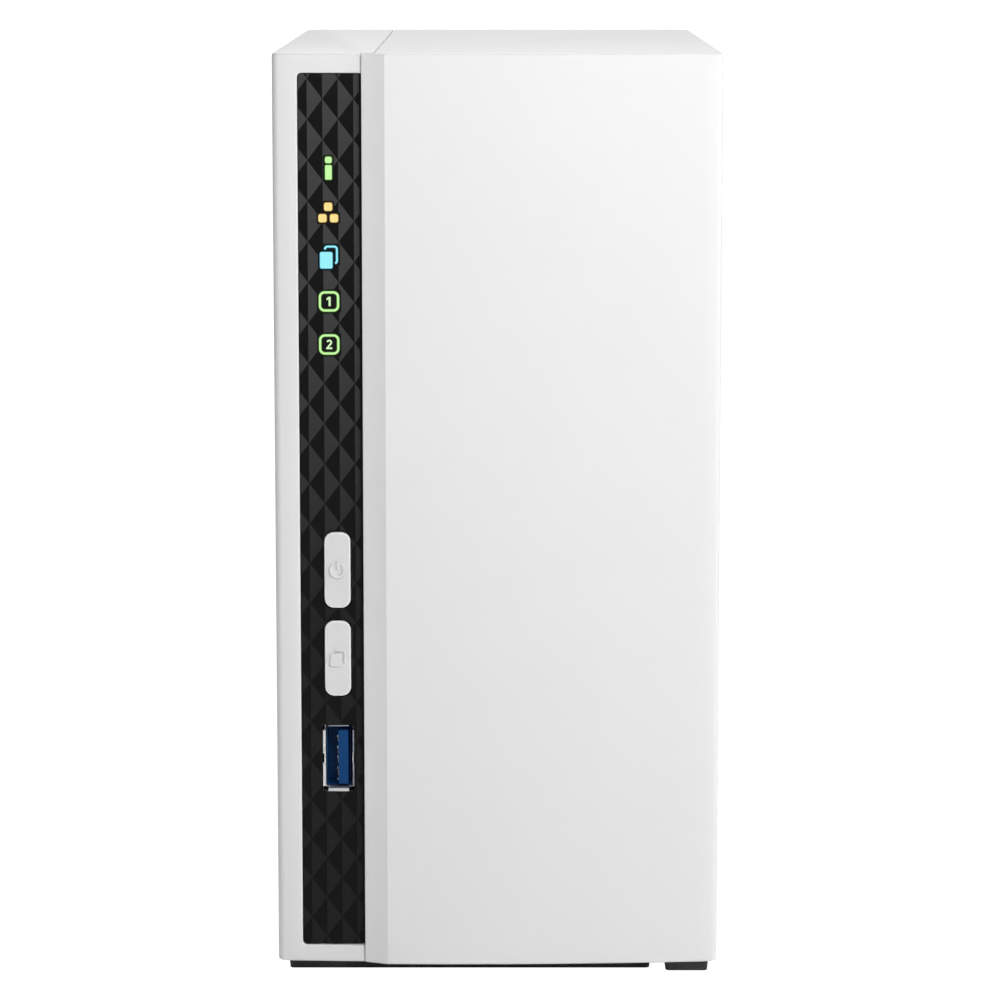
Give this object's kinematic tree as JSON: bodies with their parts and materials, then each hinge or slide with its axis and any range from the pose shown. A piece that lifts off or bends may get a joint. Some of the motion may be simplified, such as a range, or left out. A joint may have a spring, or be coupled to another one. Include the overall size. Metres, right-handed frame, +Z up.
{
  "type": "network attached storage",
  "caption": "Upright desktop network storage unit: slide-off white cover, dark faceted front strip with lit icons, USB socket and push buttons, upright drives in lift-out trays, rear fan.",
  "frame": {"origin": "on the resting surface, under the middle of the bounding box", "axes": "+Z up, the front faces -Y, +X is to the right seen from the front"},
  "size_m": [0.0902, 0.1562, 0.1886],
  "materials": {
    "white_shell": "fine matte white",
    "black_fascia": "satin black with raised facets",
    "grey_button": "satin pale grey",
    "light_guide": "clear, lit from behind",
    "rubber": "matte",
    "circuit_board": "solder mask",
    "blue_plastic": "satin",
    "dark_plastic": "satin",
    "steel": "bright",
    "aluminium": "cast, satin"
  },
  "bodies": {
    "chassis": {"backplane": "circuit_board", "coin_cell": "steel", "copy_switch": "dark_plastic", "cover_thumbscrew_1": "steel", "cover_thumbscrew_2": "steel", "drive_cage": "steel", "drive_socket_1": "dark_plastic", "drive_socket_2": "dark_plastic", "fan_frame": "dark_plastic", "fan_lead": "dark_plastic", "fan_screw_1": "steel", "fan_screw_2": "steel", "fan_screw_3": "steel", "fan_screw_4": "steel", "front_board": "circuit_board", "front_fascia": "black_fascia", "front_foot": "rubber", "front_ribbon": "grey_button", "front_usb_core": "blue_plastic", "front_usb_shell": "steel", "heatsink": "aluminium", "indicator_light_guide": "light_guide", "left_housing": "white_shell", "mainboard": "circuit_board", "mainboard_screw_1": "steel", "mainboard_screw_2": "steel", "mainboard_screw_3": "steel", "mainboard_screw_4": "steel", "network_jack": "dark_plastic", "power_jack": "dark_plastic", "power_switch": "dark_plastic", "processor": "dark_plastic", "rear_foot": "rubber", "rear_panel": "white_shell", "rear_usb_1_core": "dark_plastic", "rear_usb_1_shell": "steel", "rear_usb_2_core": "dark_plastic", "rear_usb_2_shell": "steel", "reset_switch": "dark_plastic"},
    "cover": {"sliding_cover": "white_shell", "cover_front_foot": "rubber", "cover_rear_foot": "rubber"},
    "tray_1": {"tray_1": "dark_plastic", "drive_1_casting": "aluminium", "drive_1_lid": "steel", "drive_1_board": "circuit_board", "drive_1_screw_1": "steel", "drive_1_screw_2": "steel"},
    "tray_2": {"tray_2": "dark_plastic", "drive_2_casting": "aluminium", "drive_2_lid": "steel", "drive_2_board": "circuit_board", "drive_2_screw_1": "steel", "drive_2_screw_2": "steel"},
    "fan_rotor": {"fan_rotor": "dark_plastic"},
    "power_button": {"power_button": "grey_button"},
    "power_switch_plunger": {"power_switch_plunger": "grey_button"},
    "copy_button": {"copy_button": "grey_button"},
    "copy_switch_plunger": {"copy_switch_plunger": "grey_button"},
    "reset_plunger": {"reset_plunger": "grey_button"}
  },
  "joints": [
    {"name": "cover_slide", "type": "slide", "parent": "chassis", "child": "cover", "axis": [0, -1, 0], "range_m": [0, 0.15]},
    {"name": "tray_1_lift", "type": "slide", "parent": "chassis", "child": "tray_1", "axis": [0, 0, 1], "range_m": [0, 0.009]},
    {"name": "tray_2_lift", "type": "slide", "parent": "chassis", "child": "tray_2", "axis": [0, 0, 1], "range_m": [0, 0.009]},
    {"name": "fan_spin", "type": "hinge", "parent": "chassis", "child": "fan_rotor", "pos_m": [0, 0.0596, 0.143], "axis": [0, 1, 0], "continuous": true},
    {"name": "power_press", "type": "slide", "parent": "chassis", "child": "power_button", "axis": [0, 1, 0], "range_m": [0, 0.0008], "stiffness_N_per_m": 900, "springref_m": -0.0004},
    {"name": "power_switch_press", "type": "slide", "parent": "chassis", "child": "power_switch_plunger", "axis": [0, 1, 0], "range_m": [0, 0.0008]},
    {"name": "copy_press", "type": "slide", "parent": "chassis", "child": "copy_button", "axis": [0, 1, 0], "range_m": [0, 0.0008], "stiffness_N_per_m": 900, "springref_m": -0.0004},
    {"name": "copy_switch_press", "type": "slide", "parent": "chassis", "child": "copy_switch_plunger", "axis": [0, 1, 0], "range_m": [0, 0.0008]},
    {"name": "reset_press", "type": "slide", "parent": "chassis", "child": "reset_plunger", "axis": [0, -1, 0], "range_m": [0, 0.001], "stiffness_N_per_m": 900, "springref_m": -0.0004}
  ],
  "couplings": [
    {"joint": "power_switch_press", "follows": "power_press", "ratio": 1},
    {"joint": "copy_switch_press", "follows": "copy_press", "ratio": 1}
  ]
}
